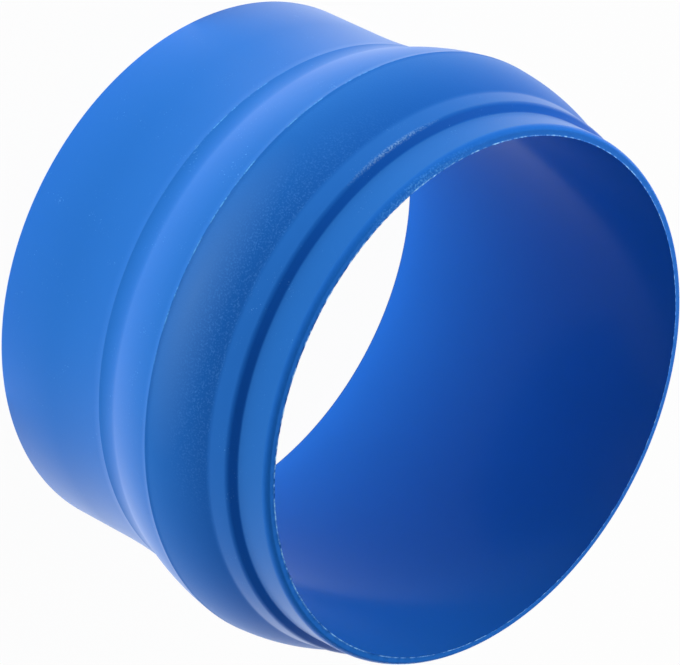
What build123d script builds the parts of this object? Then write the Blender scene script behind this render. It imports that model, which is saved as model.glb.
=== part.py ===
import os

from build123d import *

# Compression ring for a plastic pipe, moulded in one piece and open at both ends.
# All sizes are in millimetres. The ring stands on its skirt, with its axis on Z.

# The pipe that the ring slides on, and the play between them on the diameter
pipe_diameter = 50.0
pipe_play = 0.4

# How far each outer surface stands out from the one before it, mouth to bead crown
mouth_face = 0.55
lip_wall = 0.92
step_rise = 0.75
shoulder_taper = 0.25
bead_front_rise = 1.7

# The same from the skirt to the back of the bead
skirt_wall = 1.05
flare_rise = 0.45
neck_rise = 0.45

# Lengths along the axis, from the skirt's end up to the mouth
skirt_length = 14.3
flare_length = 7.3
neck_length = 2.4
bead_rear_length = 6.25
bead_front_length = 6.65
shoulder_length = 2.1
step_run = 0.7
lip_length = 3.9

# How far the bead's two slopes bulge out beyond a straight cone
bead_front_crown = 0.33
bead_rear_crown = 0.22

# Rounded edges, and the funnel at the skirt's end that guides the pipe in
mouth_round_length = 0.8
mouth_round_crown = 0.1
step_edge_radius = 0.3
foot_edge_radius = 0.15
lead_in_depth = 0.25
lead_in_length = 3.0

# Radii
bore_radius = (pipe_diameter + pipe_play) / 2
lead_in_radius = bore_radius + lead_in_depth
mouth_radius = bore_radius + mouth_face
lip_radius = bore_radius + lip_wall
shoulder_radius = lip_radius + step_rise
bead_front_radius = shoulder_radius + shoulder_taper
crown_radius = bead_front_radius + bead_front_rise
skirt_radius = bore_radius + skirt_wall
waist_radius = skirt_radius + flare_rise
bead_rear_radius = waist_radius + neck_rise

# Heights above the skirt's end
flare_height = skirt_length - flare_length
bead_rear_height = skirt_length + neck_length
crown_height = bead_rear_height + bead_rear_length
bead_front_height = crown_height + bead_front_length
shoulder_height = bead_front_height + shoulder_length
lip_foot_height = shoulder_height + step_run
ring_height = lip_foot_height + lip_length
mouth_round_height = ring_height - mouth_round_length

with BuildPart() as compression_ring:
    with BuildSketch(Plane.XZ) as section:
        with BuildLine() as outline:
            # Bore: the pipe's funnel, the straight bore and the thin face at the mouth
            funnel = Line((lead_in_radius, 0), (bore_radius, lead_in_length))
            bore = Line(funnel @ 1, (bore_radius, ring_height))
            mouth = Line(bore @ 1, (mouth_radius, ring_height))

            # Lip and stepped shoulder
            mouth_round = SagittaArc(mouth @ 1, (lip_radius, mouth_round_height), mouth_round_crown)
            lip = Line(mouth_round @ 1, (lip_radius, lip_foot_height))
            step = Line(lip @ 1, (shoulder_radius, shoulder_height))
            shoulder = Line(step @ 1, (bead_front_radius, bead_front_height))

            # Bead, with its two slopes meeting at the mould's parting line
            bead_front = SagittaArc(shoulder @ 1, (crown_radius, crown_height), bead_front_crown)
            bead_rear = SagittaArc(bead_front @ 1, (bead_rear_radius, bead_rear_height), bead_rear_crown)

            # Neck, flare and skirt
            neck = Line(bead_rear @ 1, (waist_radius, skirt_length))
            flare = TangentArc((skirt_radius, flare_height), neck @ 1, tangent=(0, 1))
            skirt = Line((skirt_radius, 0), (skirt_radius, flare_height))
            foot = Line((lead_in_radius, 0), (skirt_radius, 0))
        make_face()
        step_edge = section.vertices().sort_by_distance((shoulder_radius, shoulder_height))[0]
        fillet(step_edge, radius=step_edge_radius)
        foot_edge = section.vertices().sort_by_distance((skirt_radius, 0))[0]
        fillet(foot_edge, radius=foot_edge_radius)
    revolve(axis=Axis.Z)

compression_ring.part.label = "compression_ring"

os.makedirs("parts", exist_ok=True)
export_step(compression_ring.part, "parts/compression_ring.step")
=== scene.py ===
import math

import bmesh
import bpy
from mathutils import Matrix, Vector


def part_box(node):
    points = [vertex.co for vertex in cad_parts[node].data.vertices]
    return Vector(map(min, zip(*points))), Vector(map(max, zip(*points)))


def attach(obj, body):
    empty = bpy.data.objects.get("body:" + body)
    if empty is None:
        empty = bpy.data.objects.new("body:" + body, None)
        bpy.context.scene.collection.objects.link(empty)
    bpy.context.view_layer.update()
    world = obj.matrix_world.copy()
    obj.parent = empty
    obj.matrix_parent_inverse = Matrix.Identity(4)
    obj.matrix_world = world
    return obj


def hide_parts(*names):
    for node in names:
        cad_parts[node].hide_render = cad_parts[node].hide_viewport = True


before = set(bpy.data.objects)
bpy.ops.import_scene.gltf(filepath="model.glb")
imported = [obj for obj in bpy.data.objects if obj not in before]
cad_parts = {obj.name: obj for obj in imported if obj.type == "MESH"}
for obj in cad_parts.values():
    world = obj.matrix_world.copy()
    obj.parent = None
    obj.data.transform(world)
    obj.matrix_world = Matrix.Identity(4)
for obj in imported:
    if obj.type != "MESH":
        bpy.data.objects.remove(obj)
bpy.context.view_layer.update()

# Compression ring, moulded in one piece of blue polypropylene and open at both ends.
# It stands on its skirt, with its axis on Z and its mouth up.

MM = 0.001
NODE = "compression_ring"

# The ring's overall height and its crown's radius come from the frame, in millimetres
low_corner, high_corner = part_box(NODE)
BOX_MARGIN = 0.01
RING_HEIGHT = high_corner.z / MM
CROWN_RADIUS = min(high_corner.x, high_corner.y, -low_corner.x, -low_corner.y) / MM - BOX_MARGIN

# Radii, in millimetres
BORE_RADIUS = 25.2
LEAD_IN_RADIUS = 25.45
MOUTH_RADIUS = 25.75
LIP_RADIUS = 26.12
SHOULDER_RADIUS = 26.87
BEAD_FRONT_RADIUS = 27.12
BEAD_REAR_RADIUS = 27.15
WAIST_RADIUS = 26.7
SKIRT_RADIUS = 26.25

# Heights above the skirt's end, in millimetres
LEAD_IN_HEIGHT = 3.0
FLARE_HEIGHT = 7.0
WAIST_HEIGHT = 14.3
BEAD_REAR_HEIGHT = 16.7
CROWN_HEIGHT = 22.95
BEAD_FRONT_HEIGHT = 29.6
SHOULDER_HEIGHT = 31.7
LIP_FOOT_HEIGHT = 32.4
MOUTH_ROUND_HEIGHT = 35.5

# How far the round stretches bulge out beyond a straight line
MOUTH_ROUND_CROWN = 0.1
BEAD_FRONT_CROWN = 0.33
BEAD_REAR_CROWN = 0.22
FLARE_CROWN = -0.11

# What the mould leaves: a thin fin at the mouth, a line at the crown and a finer one at the waist
FLASH_HEIGHT = 0.09
FLASH_THICKNESS = 0.06
FLASH_ROOT_RADIUS = BORE_RADIUS + 1.6 * FLASH_THICKNESS
FLASH_NICK_LENGTH = 0.4
FLASH_NICK_DEPTH = 0.07
PARTING_LINE_RISE = 0.014
PARTING_LINE_WIDTH = 0.14
WITNESS_LINE_RISE = 0.01
WITNESS_LINE_WIDTH = 0.12

# Radii of the rounded corners
MOUTH_CORNER = 0.08
STEP_CORNER = 0.3
STEP_FOOT_CORNER = 0.12
SHOULDER_CORNER = 0.25
BEAD_FOOT_CORNER = 0.3
SKIRT_CORNER = 0.15

RING_STEPS = 900

# How much the plastic shines where it is seen straight on
SHEEN = 0.03

# Where the mould's lines get a painted highlight in broken dashes, where the step's edge gets a painted
# highlight, where the trimmed mouth gets pale flecks with a painted glow, and where the bead gets a
# painted sheen and painted glints in its grain; each with how far it reaches, in millimetres
PARTING_HIGHLIGHT_PLACE = (-9.0, -27.5, 22.95)
PARTING_HIGHLIGHT_REACH = (22.0, 22.0, 10.0)
WITNESS_HIGHLIGHT_PLACE = (-12.0, -24.0, 14.3)
WITNESS_HIGHLIGHT_REACH = (9.0, 9.0, 9.0)
STEP_HIGHLIGHT_PLACE = (-16.5, -21.2, 31.58)
STEP_HIGHLIGHT_REACH = (6.5, 6.5, 0.32)
GLOW_FLECK_PLACE = (-14.6, -20.8, RING_HEIGHT)
GLOW_FLECK_REACH = (9.0, 9.0, 0.5)
SHEEN_PATCH_PLACE = (3.0, -28.2, 24.9)
SHEEN_PATCH_REACH = (17.0, 12.0, 3.6)
GLINT_PLACE = (2.0, -27.6, 28.6)
GLINT_REACH = (28.0, 16.0, 4.2)

# The camera looks at the ring from the photograph's place, in millimetres and degrees
CAMERA_PLACE = (0.28, -442.58, 396.86)
CAMERA_ELEVATION = 40.587
CAMERA_ROLL = 116.55
LENS = 333.25
SENSOR = 36

# The ring is lit mostly by the light table it stands on, which is a frame of lamps round its foot,
# and by two soft lamps further off; both in millimetres
TABLE_LIGHT_HEIGHT = 0.02
TABLE_REACH = 300
TABLE_GAP = 18
LAMP_DISTANCE = 700
LAMP_WIDTH = 500


def linear(hex_colour):
    """An sRGB hex colour as Blender's linear RGBA."""
    channels = [int(hex_colour[i:i + 2], 16) / 255 for i in (1, 3, 5)]
    return tuple(c / 12.92 if c <= 0.04045 else ((c + 0.055) / 1.055) ** 2.4 for c in channels) + (1,)


def add_node(tree, kind, links=None, **settings):
    """A node with its settings and its inputs, each a value or another node's output."""
    node = tree.nodes.new(kind)
    for name, value in settings.items():
        setattr(node, name, value)
    for socket, value in (links or {}).items():
        if isinstance(value, bpy.types.NodeSocket):
            tree.links.new(value, node.inputs[socket])
        else:
            node.inputs[socket].default_value = value
    return node


def crowned(start, end, crown, steps):
    """Points on a round stretch from start to end, which bulges out by crown; start is left out."""
    (r0, z0), (r1, z1) = start, end
    length = math.hypot(r1 - r0, z1 - z0)
    out = ((z0 - z1) / length, (r1 - r0) / length)
    points = []
    for i in range(1, steps + 1):
        t = i / steps
        bulge = 4 * crown * t * (1 - t)
        points.append((r0 + (r1 - r0) * t + out[0] * bulge, z0 + (z1 - z0) * t + out[1] * bulge))
    return points


def ridge(radius, height, rise, width):
    """A low moulded line that stands out from the wall."""
    half = width / 2
    return [(radius, height + half), (radius + rise, height + half / 2),
            (radius + rise, height - half / 2), (radius, height - half)]


def section_points():
    """The half section as (radius, height) in millimetres, from the mouth's inner edge and back."""
    face_height = RING_HEIGHT - FLASH_HEIGHT
    crown_radius = CROWN_RADIUS - PARTING_LINE_RISE
    points = [(BORE_RADIUS, RING_HEIGHT)]
    points += [(BORE_RADIUS + FLASH_THICKNESS, RING_HEIGHT - FLASH_HEIGHT / 4)]
    points += [(FLASH_ROOT_RADIUS, face_height), (MOUTH_RADIUS, face_height)]
    points += crowned(points[-1], (LIP_RADIUS, MOUTH_ROUND_HEIGHT), MOUTH_ROUND_CROWN, 6)
    points += [(LIP_RADIUS, LIP_FOOT_HEIGHT), (SHOULDER_RADIUS, SHOULDER_HEIGHT)]
    points += [(BEAD_FRONT_RADIUS, BEAD_FRONT_HEIGHT)]
    crown = ridge(crown_radius, CROWN_HEIGHT, PARTING_LINE_RISE, PARTING_LINE_WIDTH)
    points += crowned(points[-1], crown[0], BEAD_FRONT_CROWN, 14)
    points += crown[1:]
    points += crowned(points[-1], (BEAD_REAR_RADIUS, BEAD_REAR_HEIGHT), BEAD_REAR_CROWN, 12)
    waist = ridge(WAIST_RADIUS, WAIST_HEIGHT, WITNESS_LINE_RISE, WITNESS_LINE_WIDTH)
    points += waist
    points += crowned(points[-1], (SKIRT_RADIUS, FLARE_HEIGHT), FLARE_CROWN, 8)
    points += [(SKIRT_RADIUS, 0), (LEAD_IN_RADIUS, 0)]
    points += [(BORE_RADIUS, LEAD_IN_HEIGHT), (BORE_RADIUS, RING_HEIGHT)]
    return points


def select_where(mesh_part, test):
    """Selects, in edit mode, only the vertices or faces that pass the test."""
    bpy.ops.mesh.select_all(action="DESELECT")
    edit = bmesh.from_edit_mesh(bpy.context.edit_object.data)
    for item in getattr(edit, mesh_part):
        item.select = test(item)
    edit.select_flush_mode()
    bmesh.update_edit_mesh(bpy.context.edit_object.data)


def near(point, reach=0.02):
    """A test for vertices that lie at this (radius, height), in millimetres."""
    def test(vertex):
        radius = math.hypot(vertex.co.x, vertex.co.y) / MM
        return math.hypot(radius - point[0], vertex.co.z / MM - point[1]) < reach
    return test


def draw_section():
    """The half section, drawn as a closed line by extruding one point from corner to corner."""
    points = section_points()
    bpy.ops.object.select_all(action="DESELECT")
    bpy.ops.mesh.primitive_plane_add(size=MM, location=(points[0][0] * MM, 0, points[0][1] * MM))
    ring = bpy.context.object
    ring.name = "moulded_ring"
    bpy.ops.object.transform_apply(location=True, rotation=False, scale=False)
    bpy.ops.object.mode_set(mode="EDIT")
    bpy.ops.mesh.merge(type="CENTER")
    for (r0, z0), (r1, z1) in zip(points, points[1:]):
        step = ((r1 - r0) * MM, 0, (z1 - z0) * MM)
        bpy.ops.mesh.extrude_vertices_move(TRANSFORM_OT_translate={"value": step})
    bpy.ops.mesh.select_all(action="SELECT")
    bpy.ops.mesh.remove_doubles(threshold=0.002 * MM)
    return ring


def round_corners():
    """The mould's small radii, on the corners of the section."""
    corners = [
        ((MOUTH_RADIUS, RING_HEIGHT - FLASH_HEIGHT), MOUTH_CORNER),
        ((LIP_RADIUS, MOUTH_ROUND_HEIGHT), MOUTH_CORNER),
        ((LIP_RADIUS, LIP_FOOT_HEIGHT), STEP_FOOT_CORNER),
        ((SHOULDER_RADIUS, SHOULDER_HEIGHT), STEP_CORNER),
        ((BEAD_FRONT_RADIUS, BEAD_FRONT_HEIGHT), SHOULDER_CORNER),
        ((BEAD_REAR_RADIUS, BEAD_REAR_HEIGHT), BEAD_FOOT_CORNER),
        ((SKIRT_RADIUS, 0), SKIRT_CORNER),
    ]
    for corner, size in corners:
        select_where("verts", near(corner))
        bpy.ops.mesh.bevel(
            offset=size * MM, offset_type="OFFSET", segments=4, profile=0.5, affect="VERTICES")


def spin_section():
    """The section is spun round the axis, its doubles merged and its faces turned outwards."""
    bpy.ops.mesh.select_all(action="SELECT")
    bpy.ops.mesh.spin(steps=RING_STEPS, angle=2 * math.pi, center=(0, 0, 0), axis=(0, 0, 1))
    bpy.ops.mesh.select_all(action="SELECT")
    bpy.ops.mesh.remove_doubles(threshold=0.002 * MM)
    bpy.ops.mesh.normals_make_consistent(inside=False)


def tear_fin(ring):
    """The fin's top is left uneven, with small nicks, as thin plastic tears when it is trimmed."""
    def fin_top(vertex):
        radius = math.hypot(vertex.co.x, vertex.co.y) / MM
        on_fin = radius < BORE_RADIUS + 1.3 * FLASH_THICKNESS
        return on_fin and vertex.co.z / MM > RING_HEIGHT - FLASH_HEIGHT / 2
    select_where("verts", fin_top)
    group = ring.vertex_groups.new(name="fin_top")
    bpy.ops.object.vertex_group_assign()
    bpy.ops.object.mode_set(mode="OBJECT")
    clouds = bpy.data.textures.new("fin_nicks", "CLOUDS")
    clouds.noise_scale = FLASH_NICK_LENGTH * MM
    clouds.noise_depth = 2
    clouds.contrast = 1.6
    shift = ring.modifiers.new("fin_nicks", "DISPLACE")
    shift.texture = clouds
    shift.texture_coords = "LOCAL"
    shift.direction = "Z"
    # Above the pattern's highest value, so that the fin is only ever lowered
    shift.mid_level = 1.1
    shift.strength = FLASH_NICK_DEPTH * MM
    shift.vertex_group = group.name
    bpy.ops.object.modifier_apply(modifier=shift.name)


def make_ring():
    ring = draw_section()
    round_corners()
    spin_section()
    tear_fin(ring)
    bpy.ops.object.shade_smooth_by_angle(angle=math.radians(35))
    return ring


def new_tree(name):
    """An empty material, as (material, node tree, place on the object in metres)."""
    material = bpy.data.materials.new(name)
    material.use_nodes = True
    tree = material.node_tree
    tree.nodes.clear()
    return material, tree, add_node(tree, "ShaderNodeTexCoord").outputs["Object"]


def calculate(tree, operation, first, second=0.0):
    """One sum on numbers, kept between 0 and 1."""
    links = {0: first, 1: second}
    return add_node(tree, "ShaderNodeMath", links, operation=operation, use_clamp=True).outputs[0]


def fade(tree, value, low, high):
    """0 where the value is low and 1 where it is high, with an even change between."""
    links = {"Value": value, "From Min": low, "From Max": high}
    return add_node(tree, "ShaderNodeMapRange", links).outputs[0]


def noise(tree, place, size, detail=2.0):
    """An uneven pattern, from 0 to 1, whose patches are about this size in millimetres."""
    links = {"Vector": place, "Scale": 1 / (size * MM), "Detail": detail}
    return add_node(tree, "ShaderNodeTexNoise", links).outputs["Fac"]


def patch(tree, place, centre, reach):
    """1 at a place on the ring and 0 at its reach, both in millimetres along X, Y and Z."""
    offset = add_node(tree, "ShaderNodeVectorMath", {
        0: place, 1: tuple(c * MM for c in centre)}, operation="SUBTRACT").outputs[0]
    scaled = add_node(tree, "ShaderNodeVectorMath", {
        0: offset, 1: tuple(r * MM for r in reach)}, operation="DIVIDE").outputs[0]
    distance = add_node(tree, "ShaderNodeVectorMath", {0: scaled}, operation="LENGTH").outputs["Value"]
    return fade(tree, distance, 1.0, 0.0)


def blend(tree, factor, first, second):
    """A colour between the first and the second."""
    links = {"Factor": factor, "A": first, "B": second}
    return add_node(tree, "ShaderNodeMix", links, data_type="RGBA").outputs["Result"]


def finish_plastic(tree, colour, roughness, rim_sheen, grain, grain_depth, place, glow=0.0):
    """The plastic's surface: its colour, its mould grain in millimetres and its sheen.

    The sheen gathers at the rims, and glow is a painted glow, an emission that stands for light coming
    through where the wall is thin.
    """
    facing = add_node(tree, "ShaderNodeLayerWeight", {"Blend": 0.5}).outputs["Facing"]
    rim = calculate(tree, "MULTIPLY", calculate(tree, "POWER", facing, 4.0), rim_sheen)
    bump = add_node(tree, "ShaderNodeBump", {
        "Height": noise(tree, place, grain), "Strength": 1.0, "Distance": grain_depth * MM}).outputs[0]
    shader = add_node(tree, "ShaderNodeBsdfPrincipled", {
        "Base Color": colour, "Roughness": roughness, "IOR": 1.49,
        "Specular IOR Level": calculate(tree, "ADD", rim, SHEEN), "Normal": bump,
        "Emission Color": colour, "Emission Strength": glow})
    add_node(tree, "ShaderNodeOutputMaterial", {"Surface": shader.outputs["BSDF"]})


def mass_colour(tree, place):
    """The blue of the plastic: uneven in soft patches, with painted shade that makes it deeper where a
    wall turns up.
    """
    blue = blend(tree, noise(tree, place, 9, 3.0), linear("#2879d4"), linear("#2675cf"))
    normal = add_node(tree, "ShaderNodeNewGeometry").outputs["Normal"]
    # Painted shade: faces that turn up get a deeper blue, for the weaker light that falls on them from
    # above
    upward_shade = fade(tree, add_node(tree, "ShaderNodeSeparateXYZ", {0: normal}).outputs["Z"], 0.05, 0.85)
    return blend(tree, upward_shade, blue, linear("#1464d2"))


def satin_polypropylene():
    """Skirt, back of the bead, shoulder and lip: an even waxy blue, with a painted highlight in broken
    pale patches on the step's edge.
    """
    material, tree, place = new_tree("moulded_polypropylene_satin")
    colour = mass_colour(tree, place)
    specks = fade(tree, noise(tree, place, 0.14, 0.0), 0.74, 0.84)
    sparse = fade(tree, noise(tree, place, 2.2), 0.54, 0.70)
    colour = blend(tree, calculate(tree, "MULTIPLY", specks, sparse), colour, linear("#5fa6ee"))
    # Painted highlight: a pale broken line on the step's edge, in scuff-like patches
    highlight_breaks = fade(tree, noise(tree, place, 0.16), 0.42, 0.62)
    step_highlight = calculate(tree, "MULTIPLY", highlight_breaks, patch(tree, place, STEP_HIGHLIGHT_PLACE, STEP_HIGHLIGHT_REACH))
    colour = blend(tree, step_highlight, colour, linear("#86b6ee"))
    finish_plastic(tree, colour, 0.38, 0.45, 0.3, 0.003, place)
    return material


def grained_polypropylene():
    """Front of the bead: the mould's matt grain, with painted glints as fine pale points and a soft
    painted sheen on it.
    """
    material, tree, place = new_tree("moulded_polypropylene_grained")
    colour = mass_colour(tree, place)
    # Painted sheen: a soft pale patch that stands for a glossy reflection on the bead's front
    sheen_patch = calculate(tree, "MULTIPLY", patch(tree, place, SHEEN_PATCH_PLACE, SHEEN_PATCH_REACH), 0.45)
    colour = blend(tree, sheen_patch, colour, linear("#649ae0"))
    # Painted glints: fine pale points that stand for the grain's tiny highlights, densest near the
    # shoulder
    glint_area = fade(tree, patch(tree, place, GLINT_PLACE, GLINT_REACH), 0.0, 0.6)
    points = fade(tree, noise(tree, place, 0.17, 1.0), 0.50, 0.78)
    points = calculate(tree, "MULTIPLY", calculate(tree, "MULTIPLY", points, glint_area), 0.55)
    colour = blend(tree, points, colour, linear("#4f9cf0"))
    finish_plastic(tree, colour, 0.5, 0.4, 0.17, 0.012, place)
    return material


def polished_polypropylene():
    """Bore: left smooth by the core, so it shows a soft edged reflection of the light at the far end."""
    material, tree, place = new_tree("moulded_polypropylene_polished")
    finish_plastic(tree, mass_colour(tree, place), 0.17, 0.03, 0.8, 0.0015, place)
    return material


def trimmed_polypropylene():
    """Mouth: the rounded edge, and the trimmed face, painted paler than the rest and in pale flecks with
    a painted glow, for light through the thin wall.
    """
    material, tree, place = new_tree("trimmed_polypropylene")
    height = add_node(tree, "ShaderNodeSeparateXYZ", {0: place}).outputs["Z"]
    face = fade(tree, height, MOUTH_ROUND_HEIGHT * MM, RING_HEIGHT * MM)
    # Painted light: the trimmed face is made paler, for light that comes through the thin wall
    pale = blend(tree, noise(tree, place, 0.35), linear("#2380f4"), linear("#2f8cf8"))
    colour = blend(tree, face, mass_colour(tree, place), pale)
    # Painted glow: pale flecks that also emit light, for the same light through the thin edge
    glow_flecks = fade(tree, noise(tree, place, 0.2, 1.0), 0.48, 0.7)
    glow_flecks = calculate(tree, "MULTIPLY", glow_flecks, patch(tree, place, GLOW_FLECK_PLACE, GLOW_FLECK_REACH))
    colour = blend(tree, glow_flecks, colour, linear("#5cacff"))
    glow = calculate(tree, "ADD", calculate(tree, "MULTIPLY", glow_flecks, 0.3), 0.04)
    finish_plastic(tree, colour, 0.45, 0.5, 0.2, 0.003, place, glow)
    return material


def thin_flash():
    """Fin at the mouth: plastic so thin that light comes through it, shown as a painted glow and a paler
    colour in places.
    """
    material, tree, place = new_tree("thin_polypropylene_flash")
    # Painted glow: where lit is high the fin is paler and emits light
    lit = fade(tree, noise(tree, place, 0.5), 0.40, 0.65)
    colour = blend(tree, lit, linear("#2a84f4"), linear("#8cc8ff"))
    shader = add_node(tree, "ShaderNodeBsdfPrincipled", {
        "Base Color": colour, "Roughness": 0.5, "Specular IOR Level": 0.07,
        "Emission Color": colour, "Emission Strength": calculate(tree, "MULTIPLY", lit, 0.45)})
    add_node(tree, "ShaderNodeOutputMaterial", {"Surface": shader.outputs["BSDF"]})
    return material


def mould_line(name, centre, reach, faint):
    """Parting line or witness line: a fine raised line with a painted highlight, pale in broken dashes
    round one place and faintly paler all along.
    """
    material, tree, place = new_tree(name)
    # Painted highlight: the line is made paler in broken dashes near one place, and by faint all along
    dashes = fade(tree, noise(tree, place, 1.8), 0.46, 0.60)
    dots = fade(tree, noise(tree, place, 0.25, 0.0), 0.30, 0.60)
    highlight_area = fade(tree, patch(tree, place, centre, reach), 0.0, 0.5)
    highlight_dashes = calculate(tree, "MULTIPLY", calculate(tree, "MULTIPLY", dashes, dots), highlight_area)
    pale = calculate(tree, "ADD", highlight_dashes, faint)
    colour = blend(tree, pale, mass_colour(tree, place), linear("#5cacf2"))
    finish_plastic(tree, colour, 0.4, 0.5, 0.2, 0.004, place)
    return material


def give_material(ring, material, test):
    """Gives a material to the faces that pass the test."""
    ring.data.materials.append(material)
    ring.active_material_index = len(ring.data.materials) - 1
    bpy.ops.object.mode_set(mode="EDIT")
    bpy.ops.mesh.select_mode(type="FACE")
    select_where("faces", test)
    bpy.ops.object.material_slot_assign()
    bpy.ops.mesh.select_mode(type="VERT")
    bpy.ops.object.mode_set(mode="OBJECT")


def between(low_radius, high_radius, low_height, high_height):
    """A test for faces whose centre lies between these radii and heights, in millimetres."""
    def test(face):
        centre = face.calc_center_median()
        radius = math.hypot(centre.x, centre.y) / MM
        return low_radius < radius < high_radius and low_height < centre.z / MM < high_height
    return test


ring = make_ring()
give_material(ring, satin_polypropylene(), lambda face: True)
give_material(ring, grained_polypropylene(), between(
    LIP_RADIUS + 0.5, CROWN_RADIUS, CROWN_HEIGHT + PARTING_LINE_WIDTH / 2, BEAD_FRONT_HEIGHT))
give_material(ring, polished_polypropylene(), between(
    BORE_RADIUS - 0.2, LEAD_IN_RADIUS - 0.1, 0.01, RING_HEIGHT))
give_material(ring, trimmed_polypropylene(), between(
    BORE_RADIUS + FLASH_THICKNESS, LIP_RADIUS, MOUTH_ROUND_HEIGHT, RING_HEIGHT))
give_material(ring, thin_flash(), between(
    BORE_RADIUS + 0.01, FLASH_ROOT_RADIUS, RING_HEIGHT - 2 * FLASH_HEIGHT, RING_HEIGHT))
parting_line = mould_line("parting_line_painted_highlight", PARTING_HIGHLIGHT_PLACE, PARTING_HIGHLIGHT_REACH, 0.06)
give_material(ring, parting_line, between(
    CROWN_RADIUS - 2 * PARTING_LINE_RISE, CROWN_RADIUS,
    CROWN_HEIGHT - PARTING_LINE_WIDTH / 2, CROWN_HEIGHT + PARTING_LINE_WIDTH / 2))
witness_line = mould_line("faint_witness_line", WITNESS_HIGHLIGHT_PLACE, WITNESS_HIGHLIGHT_REACH, 0.06)
give_material(ring, witness_line, between(
    WAIST_RADIUS - 0.01, WAIST_RADIUS + 0.1,
    WAIST_HEIGHT - WITNESS_LINE_WIDTH / 2, WAIST_HEIGHT + WITNESS_LINE_WIDTH / 2))
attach(ring, "root")
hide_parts(NODE)


def make_camera():
    camera_data = bpy.data.cameras.new("camera")
    camera_data.lens = LENS
    camera_data.sensor_width = SENSOR
    camera = bpy.data.objects.new("camera", camera_data)
    bpy.context.scene.collection.objects.link(camera)
    tilt = Matrix.Rotation(math.radians(90 - CAMERA_ELEVATION), 4, "X")
    roll = Matrix.Rotation(math.radians(CAMERA_ROLL), 4, "Z")
    camera.matrix_world = Matrix.Translation(Vector(CAMERA_PLACE) * MM) @ tilt @ roll
    bpy.context.scene.camera = camera


def make_floor():
    bpy.ops.object.select_all(action="DESELECT")
    bpy.ops.mesh.primitive_plane_add(size=6, location=(0, 0, 0))
    floor = bpy.context.object
    floor.name = "floor"
    material = bpy.data.materials.new("white_table")
    material.use_nodes = True
    tree = material.node_tree
    tree.nodes.clear()
    ray = add_node(tree, "ShaderNodeLightPath").outputs
    share = add_node(tree, "ShaderNodeMath", {0: ray["Is Camera Ray"], 1: 0.97}, operation="MULTIPLY")
    paint = add_node(tree, "ShaderNodeBsdfDiffuse", {"Color": (0.85, 0.85, 0.85, 1)})
    glow = add_node(tree, "ShaderNodeEmission", {"Color": (1, 1, 1, 1), "Strength": 1.0})
    mixed = add_node(tree, "ShaderNodeMixShader", {
        0: share.outputs[0], 1: paint.outputs[0], 2: glow.outputs[0]})
    add_node(tree, "ShaderNodeOutputMaterial", {"Surface": mixed.outputs[0]})
    floor.data.materials.append(material)


def add_lamp(name, place, turn, size, radiance):
    """A soft lamp of this size in metres, turned from facing down; radiance 1 is like white paper."""
    lamp_data = bpy.data.lights.new(name, "AREA")
    lamp_data.shape = "RECTANGLE"
    lamp_data.size, lamp_data.size_y = size
    lamp_data.energy = radiance * math.pi * size[0] * size[1]
    lamp = bpy.data.objects.new(name, lamp_data)
    bpy.context.scene.collection.objects.link(lamp)
    lamp.location = place
    lamp.rotation_euler = turn
    lamp.visible_camera = False


def add_table_light(name, left, right, front, back, radiance):
    """A stretch of the light table under the ring, between these places in millimetres."""
    place = ((left + right) / 2 * MM, (front + back) / 2 * MM, TABLE_LIGHT_HEIGHT * MM)
    add_lamp(name, place, (math.pi, 0, 0), ((right - left) * MM, (back - front) * MM), radiance)


def add_sky_lamp(name, around, up, radiance):
    """A soft lamp that faces the ring; around is its angle from the camera's side, towards +X."""
    turn = math.radians(around)
    rise = math.radians(up)
    flat = LAMP_DISTANCE * MM * math.cos(rise)
    place = (flat * math.sin(turn), -flat * math.cos(turn), LAMP_DISTANCE * MM * math.sin(rise))
    add_lamp(name, place, (math.pi / 2 - rise, 0, turn), (LAMP_WIDTH * MM, LAMP_WIDTH * MM), radiance)


def make_world():
    world = bpy.data.worlds.new("studio")
    bpy.context.scene.world = world
    world.use_nodes = True
    tree = world.node_tree
    tree.nodes.clear()
    ray = add_node(tree, "ShaderNodeLightPath").outputs
    light = add_node(tree, "ShaderNodeBackground", {"Color": (1, 1, 1, 1), "Strength": 0.11})
    white = add_node(tree, "ShaderNodeBackground", {"Color": (1, 1, 1, 1), "Strength": 1.0})
    mixed = add_node(tree, "ShaderNodeMixShader", {
        0: ray["Is Camera Ray"], 1: light.outputs[0], 2: white.outputs[0]})
    add_node(tree, "ShaderNodeOutputWorld", {"Surface": mixed.outputs[0]})


make_camera()
make_floor()
make_world()
add_table_light("table_front", -TABLE_REACH, TABLE_REACH, -TABLE_REACH, -TABLE_GAP, 1.48)
add_table_light("table_left", -TABLE_REACH, -TABLE_GAP, -TABLE_GAP, TABLE_REACH, 0.8)
add_table_light("table_right", TABLE_GAP, TABLE_REACH, -TABLE_GAP, TABLE_REACH, 1.15)
add_table_light("table_back", -TABLE_GAP, TABLE_GAP, TABLE_GAP, TABLE_REACH, 1.35)
add_table_light("table_inside", -TABLE_GAP, TABLE_GAP, 4, TABLE_GAP, 1.2)
add_sky_lamp("left_lamp", 257, 35, 2.7)
add_sky_lamp("back_lamp", 200, 40, 2.0)

bpy.context.scene.view_settings.view_transform = "Standard"
